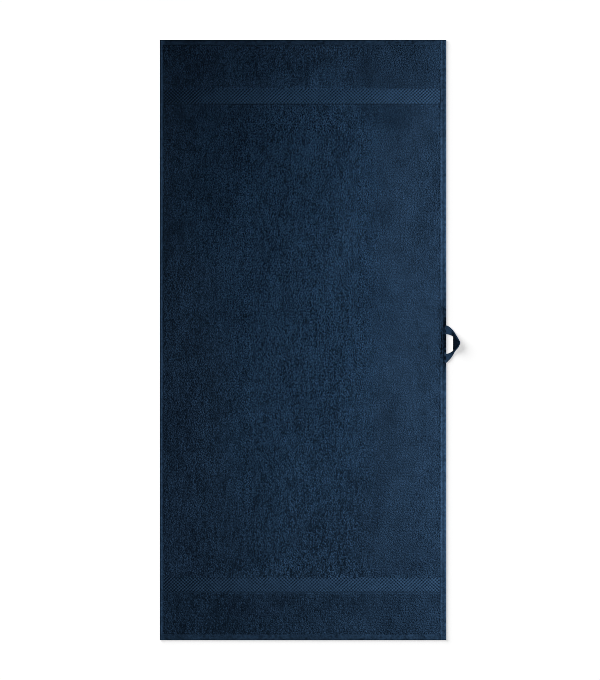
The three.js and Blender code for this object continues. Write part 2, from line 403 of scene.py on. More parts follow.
# Slow change of the bare line along a border.
def grooveWander(x):
    return cloudy(x, 0 * x, cloth["grooveChange"], 4)


# 0 at the edge of the cloth and 1 past the radius, along a quarter of a circle.
def edgeRound(insets, radius):
    share = np.clip(np.minimum.reduce(list(insets.values())) / radius, 0, 1)
    return np.sqrt(np.clip(1 - (1 - share) ** 2, 0, 1))


# Upper height of the woven ground: ground or bed, then end hems, side hems, rounded edge.
def clothTop(x, y):
    insets = insetsOf(x, y)
    height = cloth["groundLevel"] + cloth["groundLump"] * cloudy(x, y, cloth["lumpSize"], 1)
    deep = cloth["rootGrooveDeep"] * (1 + cloth["grooveSpread"] * grooveWander(x))
    for lowEdge, _ in borderEdges:
        fromGroove = (y - lowEdge + cloth["rootGrooveAt"]) / cloth["rootGrooveWide"]
        height = height - deep * np.exp(-fromGroove ** 2)
    height = np.where(inBorder(y), cloth["bedTop"], height)
    broad, fine = cloth["hemWaveSizes"]
    uneven = cloth["hemWave"] * (cloudy(x, y, broad, 2) + cloth["hemWaveFine"] * cloudy(x, y, fine, 3))
    inEnd = np.zeros(x.shape, bool)
    for side in ("top", "bottom"):
        inside = inHem(side, insets[side])
        height = np.where(inside, hemTop(side, insets[side]) + uneven, height)
        inEnd |= inside
    for side in ("left", "right"):
        over = hemTop(side, insets[side]) + uneven + cloth["cornerRise"] * inEnd
        height = np.where(inHem(side, insets[side]), over, height)
    return cloth["edgeLevel"] + (height - cloth["edgeLevel"]) * edgeRound(insets, cloth["edgeRadius"])


# Lower height: flat where it lies, raised in the borders and round the edge.
def clothUnder(x, y):
    insets = insetsOf(x, y)
    inSide = inHem("left", insets["left"]) | inHem("right", insets["right"])
    level = np.where(inBorder(y) & ~inSide, cloth["bedUnder"], cloth["underLevel"])
    return cloth["edgeLevel"] + (level - cloth["edgeLevel"]) * edgeRound(insets, cloth["underRadius"])


# Evenly spaced lines from low to high, no further apart than the spacing.
def linesBetween(low, high, spacing):
    return np.linspace(low, high, int(np.ceil((high - low) / spacing)) + 1)


# Insets of the mesh lines of a hem: its rounded edge, the rows of its section, and between.
def hemLines(side):
    rows = np.array([inset for inset, _ in cloth["hems"][side]])
    middles = (rows[1:] + rows[:-1]) / 2
    return np.unique(np.concatenate([cloth["edgeSteps"], rows[1:], middles[1:]]).round(3))


# Lines of the mesh across the cloth and along it.
def clothLines():
    left = hemLines("left") - halfWide
    right = halfWide - hemLines("right")[::-1]
    across = np.concatenate([left, linesBetween(left[-1], right[0], cloth["cellAcross"])[1:-1], right])
    stops = [hemLines("bottom") - halfLong]
    for low, high in borderEdges:
        stops.append(low + np.array(cloth["linesAtLow"]))
        stops.append(high + np.array(cloth["linesAtHigh"]))
    stops.append(halfLong - hemLines("top")[::-1])
    along = [stops[0]]
    for before, after in zip(stops, stops[1:]):
        along.append(linesBetween(before[-1], after[0], cloth["cellAlong"])[1:-1])
        along.append(after)
    return across, np.concatenate(along)


# A closed slab of two grids that share their rim. The upper side fills the left half of the
# map and the lower side the right half, spread by the length of the surface.
def slabPiece(name, across, along, top, under, material, values):
    columns, rows = len(across), len(along)
    x, y = np.meshgrid(across, along)
    upper = np.stack([x, y, top(x, y)], -1)
    lower = np.stack([x, y, under(x, y)], -1)
    rim = np.zeros((rows, columns), bool)
    rim[[0, -1], :] = True
    rim[:, [0, -1]] = True
    lowerIndex = np.arange(rows * columns).reshape(rows, columns).copy()
    lowerIndex[~rim] = rows * columns + np.arange((~rim).sum())
    points = np.concatenate([upper.reshape(-1, 3), lower[~rim]])
    faces = gridFaces(rows, columns)
    underFaces = lowerIndex.ravel()[faces][:, ::-1]
    midRow, midColumn = rows // 2, columns // 2
    alongRow = np.linalg.norm(np.diff(upper[midRow], axis=0), axis=1)
    alongColumn = np.linalg.norm(np.diff(upper[:, midColumn], axis=0), axis=1)
    u = np.concatenate([[0], np.cumsum(alongRow)]) / alongRow.sum()
    v = np.concatenate([[0], np.cumsum(alongColumn)]) / alongColumn.sum()
    u, v = np.meshgrid(mapMargin + (0.5 - 2 * mapMargin) * u, mapMargin + (1 - 2 * mapMargin) * v)
    flat = np.stack([u, v], -1).reshape(-1, 2)
    corners = np.concatenate([flat[faces.ravel()], flat[faces[:, ::-1].ravel()] + (0.5, 0)])
    spread = {}
    for key, field in values.items():
        onTop, below = field(x, y)
        spread[key] = np.concatenate([onTop.ravel(), below[~rim]])
    return makePiece(name, points, [faces, underFaces], corners, material, spread)


# 1 on the flat woven hems and 0 on the ground of the pile, for the upper and lower side.
def weaveShare(x, y):
    insets = insetsOf(x, y)
    share = np.zeros(x.shape)
    for side, inset in insets.items():
        past = inset - hemWidth(side) + cloth["weaveEnd"]
        share = np.maximum(share, 1 - easeStep(past / cloth["weaveFade"]))
    return share, share


# Tone shift of the hem that each point is in, with the side hems over the end hems: painted light and
# shade by side, with darker and lighter places along the right hem.
def hemTone(x, y):
    insets = insetsOf(x, y)
    tone = np.zeros(x.shape)
    for side in ("top", "bottom", "left", "right"):
        tone = np.where(inHem(side, insets[side]), cloth["hemTones"][side], tone)
    for middle, reach, shift in cloth["rightHemPlaces"]:
        tone += inHem("right", insets["right"]) * shift * np.exp(-((y - middle) / reach) ** 2)
    return tone, tone


# Flat plain weave on the hems, toned with painted light and shade by side, and a lumpy woven ground under
# the pile.
def clothMaterial():
    material, tree, shader = newMaterial("terryGround")
    share = readValue(tree, "weave")
    # The hem weave's tone shift is painted light and shade by side.
    weave = dyedColour(tree, cloth["weave"], readValue(tree, "hemTone"))
    # Painted shade: the ground is darker than the hem weave, for the shade between the loops.
    ground = dyedColour(tree, cloth["ground"])
    tree.links.new(blendColour(tree, share, ground, weave), shader.inputs["Base Color"])
    ribs = useGroup(tree, plainWeave, cloth["ribs"])["Height"]
    place = addNode(tree, "ShaderNodeTexCoord").outputs["Object"]
    lumps = addNode(tree, "ShaderNodeTexNoise", None, {
        "Vector": place, "Scale": cloth["lumpScale"], "Detail": 2.0}).outputs[0]
    height = addNode(tree, "ShaderNodeMix", {"data_type": "FLOAT"}, {0: share, 2: lumps, 3: ribs})
    addBump(tree, shader, height.outputs[0], cloth["reliefDepth"])
    return material


across, along = clothLines()
clothPiece = slabPiece("towel_cloth_weave", across, along, clothTop, clothUnder, clothMaterial(),
                       {"weave": weaveShare, "hemTone": hemTone})
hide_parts("towel_cloth")


# Borders: figured weave of staggered floats, on both sides of the cloth

band = {
    "floatAcross": 6.0,  # spacing of the figure, which is staggered by half
    "floatAlong": 5.75,
    "wander": 0.35,
    "wanderSize": 30,
    "ribPatch": 12,
    "ribSpread": 0.22,  # how far one set of ribs may outweigh the other
    "strength": 0.87,
    "strengthSpread": 0.3,
    "level": 2.35,
    "underLevel": 0.5,
    "rise": 0.32,
    "sink": 0.3,
    "fullness": 0.8,  # below 1, the floats are fuller than a wave
    "underShare": 0.6,  # of the relief that shows on the lower side
    "cell": 0.9,
    "edgeDrop": 0.9,  # its edges go down under the pile
    "edgeFall": 1.2,
    "overlap": 0.5,
    "underHems": {"left": 1.0, "right": 1.2},  # how far its ends reach under the hems
    "rimLevel": 1.4,
    "reliefShadeTone": 0.8,  # painted light and shade: its floats are lighter than the sunk gaps between them, following the relief
    "roughness": 0.9,
    "leftShade": {"border_upper": 0.5, "border_lower": 0.33},  # painted shade: the left end is darker, as the light falls off towards the left
    "leftFrom": -20,
    "leftReach": 230,
    "dye": {"bright": 0.0106, "tones": (0.2, 1.9), "fibres": 500, "patches": 50},
    "ribs": {"Across": 1.0, "Along": 0.58},
    "reliefDepth": 0.25,
}
halfBand = (cloth["bandOuter"] - cloth["bandInner"]) / 2 + band["overlap"]
tiny = 1e-6


# Staggered lattice from -1 to 1: two sets of diagonal ribs, each stronger in turn.
def floatFigure(x, y):
    wander = band["wander"] * cloudy(x, y, band["wanderSize"], 5)
    turnsAcross = 2 * np.pi * (x + wander) / band["floatAcross"]
    turnsAlong = 2 * np.pi * y / band["floatAlong"]
    share = 0.5 + band["ribSpread"] * cloudy(x, y, band["ribPatch"], 6)
    strength = band["strength"] + band["strengthSpread"] * cloudy(x, y, band["ribPatch"], 7)
    ribs = share * np.cos(turnsAcross + turnsAlong) + (1 - share) * np.cos(turnsAcross - turnsAlong)
    return np.clip(strength * ribs, -1, 1)


# Floats rise and the gaps between them sink, and all of it falls off at the band's edge.
def bandRelief(x, y, middle):
    figure = floatFigure(x, y)
    deep = np.where(figure > 0, band["rise"], band["sink"])
    relief = deep * np.sign(figure) * np.abs(figure) ** band["fullness"]
    fromEdge = halfBand - np.abs(y - middle)
    return relief - band["edgeDrop"] * (1 - easeStep(fromEdge / band["edgeFall"])), fromEdge


# A slab from hem to hem whose relief shows on both sides, and whose rim is at one level.
def bandPiece(name, middle):
    bandAcross = linesBetween(-halfWide + hemWidth("left") - band["underHems"]["left"],
                              halfWide - hemWidth("right") + band["underHems"]["right"], band["cell"])
    bandAlong = linesBetween(middle - halfBand, middle + halfBand, band["cell"])

    # The level, and that of the rim along the four edges.
    def withRim(x, fromEdge, level):
        rim = (fromEdge < tiny) | (x == bandAcross[0]) | (x == bandAcross[-1])
        return np.where(rim, band["rimLevel"], level)

    # The upper side rises with the relief.
    def top(x, y):
        relief, fromEdge = bandRelief(x, y, middle)
        return withRim(x, fromEdge, band["level"] + relief)

    # The lower side sinks with a share of it.
    def under(x, y):
        relief, fromEdge = bandRelief(x, y, middle)
        return withRim(x, fromEdge, band["underLevel"] - band["underShare"] * relief)

    # Tone of the figure, less painted shade that grows with the square of the way towards the left end.
    def figureField(x, y):
        toLeft = np.clip((band["leftFrom"] - x) / band["leftReach"], 0, 1)
        tone = floatFigure(x, y) - band["leftShade"][name] * toLeft ** 2
        return tone, tone

    return slabPiece(name, bandAcross, bandAlong, top, under, bandCloth, {"figure": figureField})


bandCloth = wovenMaterial("figuredWeave", band, "figure")
bandMiddle = (cloth["bandInner"] + cloth["bandOuter"]) / 2
bands = [bandPiece("border_upper", bandMiddle), bandPiece("border_lower", -bandMiddle)]


# Pile: terry loops as small leaning tufts, each a ridge on four feet

pile = {
    "pitchAcross": 1.7,
    "pitchAlong": 2.6,
    "jitter": 0.36,  # share of the pitch
    "height": 1.1,
    "heightSpread": 0.13,
    "footHalf": 1.05,
    "footDepth": 0.75,  # depth of the foot beside its length
    "ridgeHalf": 1.15,
    "turnSpread": 0.3,  # how far the ridges turn from the length of the cloth
    "sunk": 0.35,
    "lean": (-0.1, -0.55),  # the loops lie towards the lower end
    "leanSpread": 0.29,
    "tiltSpread": 0.15,
    # How much more evenly the loops lie towards a long side: share, start and reach
    "calmLeft": (0.35, -70, 60),
    "calmRight": (0.77, 60, 90),
    # And how much past the borders, from where on, and over what reach
    "calmLower": 0.55,
    "calmUpper": 0.36,
    "calmEndsFrom": (-150, 100),
    "patchLean": 0.2,
    "patchSize": 17,
    "toneSpread": 0.23,
    "deepShadeShare": 0.2,  # painted shade: a random share of loops, darkened as loops that lie deep in shade, and how much darker
    "deepShadeTone": 0.57,
    "streakTone": 0.3,  # loops of one warp yarn share part of their tone
    "streakSize": (1.9, 13),
    "rootShade": 0.6,  # painted shade: brightness at the foot beside that at the tip
    "strips": 4,
    "fringeLean": 2.8,  # the row above a border hangs over it
    "fringeReach": 2.2,
    "fringeSpread": 0.7,
    "fringeSize": 9,
    "overHems": {"left": 0.2, "right": 2.9, "top": 0.3, "bottom": 0.3},
    "bandGap": 0.1,
    # Slow waves in the height of the pile: across, along, start and height
    "waves": [(310, 880, 0.15, 0.16), (-190, 330, 0.62, 0.13), (92, -415, 0.31, 0.1),
              (133, 171, 0.84, 0.1), (-71, 118, 0.47, 0.07)],
    # Places where the loops are pressed flatter and painted darker, and with a share below 0 stand taller
    # and are painted lighter: x, y, reach across, reach along, share
    "pressedPlaces": [
        (-185, 392, 62, 20, 0.5),
        (-12, 362, 30, 14, 0.25),
        (126, 218, 34, 26, 0.3),
        (-150, -490, 75, 32, 0.45),
        (-215, 470, 40, 60, 0.4),
        (40, -330, 60, 40, 0.2),
        (-20, 110, 130, 320, -0.38),
        (235, 20, 70, 330, 0.36),
        (-50, -455, 180, 20, 0.35),
        (190, 430, 80, 60, 0.25),
    ],
    "pressedClouds": [(0.08, 34, 8), (0.07, 11, 9)],  # share, size and seed
    "pressedRange": (-0.45, 0.8),
    # What a pressed loop loses of its height, how far it leans, and how much painted shade darkens it
    "pressedHeight": 0.45,
    "pressedLean": 0.9,
    "pressedShade": 0.5,
    "dye": {"bright": 0.0202, "tones": (0.2, 1.8), "fibres": 700, "patches": 30},
    "sheenWeight": 0.04,
    "sheenRoughness": 0.5,
    "sheenTint": (0.12, 0.32, 0.7, 1.0),
    "twistScale": 1500,
    "reliefDepth": 0.2,
}


# Sum of the slow waves.
def waveHeight(x, y):
    total = np.zeros(x.shape)
    for waveAcross, waveAlong, start, height in pile["waves"]:
        total += height * np.sin(2 * np.pi * (x / waveAcross + y / waveAlong + start))
    return total


# How flat the loops lie: bell-shaped places and a cloudy field.
def pressedShare(x, y):
    share = np.zeros(x.shape)
    for amount, size, seed in pile["pressedClouds"]:
        share += amount * cloudy(x, y, size, seed)
    for middleX, middleY, reachX, reachY, amount in pile["pressedPlaces"]:
        spread = ((x - middleX) / reachX) ** 2 + ((y - middleY) / reachY) ** 2
        share += amount * np.exp(-spread)
    return np.clip(share, *pile["pressedRange"])


# A staggered, jittered grid inside the hems, with no tufts in the borders or their grooves.
def tuftPlaces():
    over = pile["overHems"]
    left = -halfWide + hemWidth("left") - over["left"]
    right = halfWide - hemWidth("right") + over["right"]
    bottom = -halfLong + hemWidth("bottom") - over["bottom"]
    top = halfLong - hemWidth("top") + over["top"]
    x, y = np.meshgrid(np.arange(left, right, pile["pitchAcross"]),
                       np.arange(bottom, top, pile["pitchAlong"]))
    x = x + (np.arange(len(x)) % 2)[:, None] * pile["pitchAcross"] / 2
    x = x + draws.uniform(-1, 1, x.shape) * pile["jitter"] * pile["pitchAcross"]
    y = y + draws.uniform(-1, 1, x.shape) * pile["jitter"] * pile["pitchAlong"]
    x, y = x.ravel(), y.ravel()
    keep = (x > left) & (x < right) & (y > bottom) & (y < top)
    gap = cloth["rootGrooveAt"] + cloth["gapSpread"] * grooveWander(x)
    for low, high in borderEdges:
        keep &= (y < low - gap) | (y > high + pile["bandGap"])
    return x[keep], y[keep]


# Each loop has its own tone and painted shade that darkens it towards its foot, with a little sheen.
def pileMaterial():
    material, tree, shader = newMaterial("terryPile")
    shader.inputs["Sheen Weight"].default_value = pile["sheenWeight"]
    shader.inputs["Sheen Roughness"].default_value = pile["sheenRoughness"]
    shader.inputs["Sheen Tint"].default_value = pile["sheenTint"]
    colour = dyedColour(tree, pile["dye"], readValue(tree, "tone"))
    # Painted shade: darker from the tip down to the foot.
    depth = addMath(tree, "MULTIPLY_ADD", readValue(tree, "tip"), 1 - pile["rootShade"], pile["rootShade"])
    tree.links.new(blendColour(tree, depth, (0, 0, 0, 1), colour), shader.inputs["Base Color"])
    place = addNode(tree, "ShaderNodeTexCoord").outputs["Object"]
    twist = addNode(tree, "ShaderNodeTexNoise", None, {
        "Vector": place, "Scale": pile["twistScale"], "Detail": 1.0}).outputs[0]
    addBump(tree, shader, twist, pile["reliefDepth"])
    return material


# Corners of a tuft: four feet and the two ends of its ridge, and their places in its map cell
tuftFaces = np.array([(0, 1, 5, 4), (2, 3, 4, 5)])
tuftEnds = np.array([(1, 2, 5), (3, 0, 4)])
tuftMap = np.array([(0.06, 0.06), (0.94, 0.06), (0.94, 0.94), (0.06, 0.94), (0.3, 0.5), (0.7, 0.5)])
tuftSize = len(tuftMap)


# 1 where the loops lie as they fall, and less where they are more even.
def unevenShare(x, y):
    left, leftFrom, leftReach = pile["calmLeft"]
    right, rightFrom, rightReach = pile["calmRight"]
    endsFrom, endsReach = pile["calmEndsFrom"]
    ends = pile["calmLower"] * (y < -cloth["bandOuter"]) + pile["calmUpper"] * (y > cloth["bandOuter"])
    calm = left * easeStep((leftFrom - x) / leftReach) + right * easeStep((x - rightFrom) / rightReach)
    return (1 - calm) * (1 - ends * easeStep((x - endsFrom) / endsReach))


# Each tuft stands on the ground, turned, leaning and toned by chance and by where it is.
def pilePieces():
    x, y = tuftPlaces()
    count = len(x)
    pressed = pressedShare(x, y)
    turn = np.pi / 2 + pile["turnSpread"] * draws.normal(0, 1, count)
    uneven = unevenShare(x, y)
    size = 1 + pile["heightSpread"] * uneven * draws.normal(0, 1, count).clip(-2, 2)
    height = pile["height"] * size * (1 - pile["pressedHeight"] * pressed) + waveHeight(x, y)
    leanX = pile["lean"][0] + pile["leanSpread"] * uneven * draws.normal(0, 1, count)
    leanY = pile["lean"][1] + pile["leanSpread"] * uneven * draws.normal(0, 1, count)
    leanX += pile["patchLean"] * cloudy(x, y, pile["patchSize"], 11)
    leanY += pile["patchLean"] * cloudy(x, y, pile["patchSize"], 12) - pile["pressedLean"] * pressed
    fringe = pile["fringeLean"] * (1 + pile["fringeSpread"] * cloudy(x, y, pile["fringeSize"], 15))
    for _, high in borderEdges:
        overEdge = (y > high) & (y < high + pile["fringeReach"])
        leanY -= fringe * overEdge * draws.uniform(0, 1, count)
    tilt = draws.normal(0, pile["tiltSpread"], count) * uneven
    ground = clothTop(x, y)
    cosine, sine = np.cos(turn), np.sin(turn)
    deep = pile["footDepth"]
    feet = np.array([(-1, -deep), (1, -deep), (1, deep), (-1, deep)]) * pile["footHalf"]
    ridge = pile["ridgeHalf"] * size
    points = np.empty((count, tuftSize, 3))
    for k, (a, b) in enumerate(feet):
        points[:, k, 0] = x + a * cosine - b * sine
        points[:, k, 1] = y + a * sine + b * cosine
        points[:, k, 2] = ground - pile["sunk"]
    for k, end in ((4, -1), (5, 1)):
        points[:, k, 0] = x + leanX + end * ridge * cosine
        points[:, k, 1] = y + leanY + end * ridge * sine
        points[:, k, 2] = ground + height * (1 + end * tilt)
    streakAcross, streakAlong = pile["streakSize"]
    streak = cloudy(x, y * streakAcross / streakAlong, streakAcross, 14)
    tone = pile["toneSpread"] * draws.normal(0, 1, count) + pile["streakTone"] * streak
    # Painted shade: a random share of loops is darker, standing for loops that lie deep in shade.
    tone -= pile["deepShadeTone"] * ((draws.uniform(0, 1, count) < pile["deepShadeShare"]) - pile["deepShadeShare"])
    # Painted shade and light: pressed places are painted darker, and places with a share below 0 lighter.
    tone = uneven * tone - pile["pressedShade"] * pressed - pile["deepShadeTone"] * pile["deepShadeShare"]
    made = []
    for k, members in enumerate(np.array_split(np.arange(count), pile["strips"])):
        faces, corners = copied([tuftFaces, tuftEnds], [tuftMap[tuftFaces], tuftMap[tuftEnds]],
                                len(members), tuftSize)
        values = {"tone": np.repeat(tone[members], tuftSize),
                  "tip": np.tile([0, 0, 0, 0, 1, 1], len(members))}
        made.append(makePiece(f"terry_loops_{k + 1}", points[members].reshape(-1, 3), faces,
                              corners, terryPile, values))
    return made


terryPile = pileMaterial()
pilePiecesMade = pilePieces()


# Stitching: a lockstitch in the groove of each hem

stitch = {
    "pitch": 3.1,
    "length": 2.5,
    "radius": 0.27,
    "sides": 5,
    "rings": ((0, 0.35), (0.2, 1.0), (0.8, 1.0), (1, 0.35)),  # place along, share of the radius
    "sunk": 0.05,
    "dip": 0.25,  # its ends go down into the cloth
    "turnSpread": 0.06,
    "placeSpread": 0.08,
    "insets": {"right": 5.8, "left": 5.5, "top": 7.5, "bottom": 10.0},  # of the seams from the edges
    "sideEnds": (2.5, 2),  # where a side seam starts and stops, from the ends of the cloth
    "endEnds": (3, 6),  # where an end seam starts and stops, from the side seams
    # Sides and ends of a stitch within its cell of the map
    "map": {"start": 0.05, "size": (0.9, 0.9), "radius": 0.1, "first": (0.25, 0.85), "last": (0.7, 0.85)},
    "roughness": 0.6,
    "dye": {"bright": 0.0167, "tones": (0.7, 1.3), "fibres": 900, "patches": 90},
}


# Middles and directions of the stitches along the four seams.
def stitchPlaces():
    insets = stitch["insets"]
    left, right = -halfWide + insets["left"], halfWide - insets["right"]
    low, high = -halfLong + insets["bottom"], halfLong - insets["top"]
    sideY = np.arange(-halfLong + stitch["sideEnds"][0], halfLong - stitch["sideEnds"][1], stitch["pitch"])
    endX = np.arange(left + stitch["endEnds"][0], right - stitch["endEnds"][1], stitch["pitch"])
    places = []
    for x in (left, right):
        places.append(np.stack([np.full(len(sideY), x), sideY, np.full(len(sideY), np.pi / 2)], -1))
    for y in (low, high):
        places.append(np.stack([endX, np.full(len(endX), y), np.zeros(len(endX))], -1))
    return np.concatenate(places)


# Smooth, even thread, lighter than the cloth.
def stitchMaterial():
    material, tree, shader = newMaterial("sewingThread", stitch["roughness"])
    tree.links.new(dyedColour(tree, stitch["dye"]), shader.inputs["Base Color"])
    return material


# Each stitch is rings of points round its own line, closed by a flat face at both ends.
def stitchPiece():
    x, y, turn = stitchPlaces().T
    count, sides = len(x), stitch["sides"]
    turn = turn + draws.normal(0, stitch["turnSpread"], count)
    x = x + draws.normal(0, stitch["placeSpread"], count)
    y = y + draws.normal(0, stitch["placeSpread"], count)
    level = clothTop(x, y) + stitch["radius"] - stitch["sunk"]
    rings = np.array(stitch["rings"])
    angle = 2 * np.pi * np.arange(sides) / sides
    alongStitch = (rings[:, 0] - 0.5) * stitch["length"]
    radius = rings[:, 1] * stitch["radius"]
    dip = stitch["dip"] * (1 - rings[:, 1])
    local = np.empty((len(rings), sides, 3))
    local[..., 0] = alongStitch[:, None]
    local[..., 1] = radius[:, None] * np.cos(angle)
    local[..., 2] = radius[:, None] * np.sin(angle) - dip[:, None]
    local = local.reshape(-1, 3)
    points = np.empty((count, len(local), 3))
    cosine, sine = np.cos(turn)[:, None], np.sin(turn)[:, None]
    points[..., 0] = x[:, None] + local[:, 0] * cosine - local[:, 1] * sine
    points[..., 1] = y[:, None] + local[:, 0] * sine + local[:, 1] * cosine
    points[..., 2] = level[:, None] + local[:, 2]
    faces, corners = copied(*tubeFaces(len(rings), sides, stitch["map"]), count, len(local))
    return makePiece("hem_stitches", points.reshape(-1, 3), faces, corners, stitchMaterial())


stitches = stitchPiece()


# Hanging loop: one length of woven tape, with a soft mitre fold at each side of its middle

tape = {
    "width": 15,
    "thickness": 1.1,
    "level": 1.5,
    "inHem": 8,  # length of each end that is sewn into the hem
    "middle": -5.3,
    "reach": 26.4,  # out from the hem to the outer edge, before the loop is lifted
    # Places of a leg's outer and inner edge at the hem, and where its outer edge bows
    "legs": ({"side": 1, "outer": 30.9, "inner": 15.5, "bow": 31},
             {"side": -1, "outer": 34.8, "inner": 19.1, "bow": 31}),
    # Where a fold meets the inner and the outer edge, along the hem, and its radius there
    "foldAlong": (19.3, 0.6),
    "foldRadii": (0.75, 0.95),
    # How a leg's edges are led into the hem and into the fold
    "outerLead": 3.5,
    "innerLead": 9,
    "outerDraw": 0.8,
    "innerDraw": 1.6,
    "outerBowAt": 0.45,
    "innerBowAt": 0.35,
    "innerBow": 0.92,
    # Out from the hem, half length to the outline and to the edge of the opening
    "upperOutline": ((0, 31, 15.5), (4, 29.5, 14.5), (8, 26.5, 13.5), (12, 22.5, 12), (15, 18.2, 9),
                     (18, 13.3, 5.5), (21.5, 7.7, 1.8), (24.6, 1.5, 0)),
    "lowerOutline": ((0, 35, 19.3), (4, 31.2, 18), (8, 27, 16.2), (12, 21.2, 13), (15, 15.7, 9),
                     (18, 11.7, 5.5), (21.5, 7.6, 1.8), (24.6, 1, 0)),
    "outlineStep": 0.5,
    "outlineSmooth": (0.25, 0.5, 0.25),
    "leastSpan": 0.5,
    "liftStart": 6.5,
    "liftLater": 3,  # the outer edges of the legs rise this much further out
    "liftLaterFrom": (13, 8),  # from here on along the hem, and over what reach
    "liftRadius": 7,
    "liftAngle": np.radians(35),
    "columns": 28,
    "rowsInHem": (1, 0.66, 0.33),  # shares of the length in the hem
    "rowsInLeg": 44,
    "rowsInFold": 18,
    "rowsInMiddle": 26,
    "edgeRound": 0.09,  # share of the width
    "map": {"start": 0.02, "size": (0.8, 0.96), "radius": 0.06, "first": (0.91, 0.3), "last": (0.91, 0.7)},
    "ribRise": 0.1,
    "ribPitch": 1.76,
    "reliefShadeTone": 0.4,  # painted light and shade: its ribs are lighter than the grooves between them, following the relief
    "roughness": 0.8,
    "dye": {"bright": 0.005, "tones": (0.5, 1.6), "fibres": 600, "patches": 120},
    "ribs": {"Across": 0.5, "Along": 0.5, "Turn": 0.6},
    "reliefDepth": 0.15,
}


# Two ends of a row of the tape, after part of its half turn round a leg's fold line.
def foldRow(leg, turn, rise):
    turn = np.asarray(turn, float)[:, None]
    outs = (tape["reach"] - tape["width"], tape["reach"])
    line = [np.array([out, leg["side"] * along, 0.0]) for out, along in zip(outs, tape["foldAlong"])]
    alongFold = (line[1] - line[0]) / np.linalg.norm(line[1] - line[0])
    away = np.array([-alongFold[1], alongFold[0], 0]) * leg["side"]
    ends = []
    for place, radius in zip(line, tape["foldRadii"]):
        point = place + away * (radius + rise) * np.sin(turn)
        point = point - alongFold * radius * turn * abs(alongFold[1] / alongFold[0])
        point = point + np.array([0, 0, 1]) * (-radius - (radius + rise) * np.cos(turn))
        ends.append(point)
    return np.stack(ends, 1), alongFold, away


# Cubic Bezier curve through a and d, led by b and c.
def bezier(a, b, c, d, t):
    t = t[:, None]
    return a * (1 - t) ** 3 + 3 * b * t * (1 - t) ** 2 + 3 * c * t ** 2 * (1 - t) + d * t ** 3


# Rows of a leg from its end in the hem to its fold, with curved outer and inner edges.
def legRows(leg, rise):
    fold, alongFold, away = foldRow(leg, [np.pi], rise)
    outer, inner = fold[0]
    side = leg["side"]
    t = np.linspace(0, 1, tape["rowsInLeg"])
    outerEdge = bezier(np.array([0, side * leg["outer"], rise]),
                       np.array([outer[0] * tape["outerBowAt"], side * leg["bow"], rise]),
                       outer - alongFold * tape["outerLead"] - away * tape["outerDraw"], outer, t)
    innerBow = np.array([inner[0] * tape["innerBowAt"], side * leg["inner"] * tape["innerBow"], rise])
    innerEdge = bezier(np.array([0, side * leg["inner"], rise]), innerBow,
                       inner - alongFold * tape["innerLead"] - away * tape["innerDraw"], inner, t)
    hidden = [[(-tape["inHem"] * share, side * leg["outer"], rise),
               (-tape["inHem"] * share, side * leg["inner"], rise)] for share in tape["rowsInHem"]]
    return np.concatenate([np.array(hidden), np.stack([outerEdge, innerEdge], 1)])


# All rows of one face of the tape, each given by its two ends.
def tapeRows(rise):
    upper, lower = tape["legs"]
    turns = np.linspace(np.pi, 0, tape["rowsInFold"])[1:-1]
    upperMiddle, lowerMiddle = foldRow(upper, [0], rise)[0], foldRow(lower, [0], rise)[0]
    share = np.linspace(0, 1, tape["rowsInMiddle"])[:, None, None]
    middle = upperMiddle * (1 - share) + lowerMiddle * share
    return np.concatenate([legRows(upper, rise), foldRow(upper, turns, rise)[0], middle,
                           foldRow(lower, turns, rise)[0][::-1], legRows(lower, rise)[::-1]])


# Spreads the lifted loop, seen from above, so that its outline follows the given one. What
# lies between the opening's edge and the outline moves in proportion, and the rest stays.
def bowed(points):
    x, y = points[..., 0] - halfWide, points[..., 1] - tape["middle"]
    moved = y.copy()
    step = tape["outlineStep"]
    bins = np.arange(0, tape["reach"] - step, step)
    for side, rows in ((1, tape["upperOutline"]), (-1, tape["lowerOutline"])):
        table = np.array(rows)
        here = (y * side > 0) & (x > -1)
        reached = np.zeros(len(bins))
        np.maximum.at(reached, (x[here] / step).astype(int).clip(0, len(bins) - 1), y[here] * side)
        reached = np.convolve(np.pad(reached, 1, "edge"), tape["outlineSmooth"], "valid")
        now = np.interp(x, bins, reached)
        outer, inner = [np.interp(x, table[:, 0], table[:, k]) for k in (1, 2)]
        ratio = (outer - inner) / np.maximum(now - inner, tape["leastSpan"])
        beyond = np.maximum(0, y * side - inner)
        moved = np.where(here & (x > 0), side * (np.minimum(y * side, inner) + beyond * ratio), moved)
    return np.stack([points[..., 0], tape["middle"] + moved, points[..., 2]], -1)


# Bends the loop up: round an arc whose axis runs along the hem, then straight on.
def lifted(points):
    out, alongHem, off = points[..., 0], points[..., 1], points[..., 2]
    radius, most = tape["liftRadius"], tape["liftAngle"]
    laterFrom, laterReach = tape["liftLaterFrom"]
    later = easeStep((np.abs(alongHem) - laterFrom) / laterReach)
    start = tape["liftStart"] + tape["liftLater"] * later
    turn = np.clip((out - start) / radius, 0, most)
    after = np.maximum(0, out - start - radius * most)
    x = np.minimum(out, start) + radius * np.sin(turn) + after * np.cos(turn) - off * np.sin(turn)
    z = radius * (1 - np.cos(turn)) + after * np.sin(turn) + off * np.cos(turn)
    return np.stack([halfWide + x, tape["middle"] + alongHem, tape["level"] + z], -1)


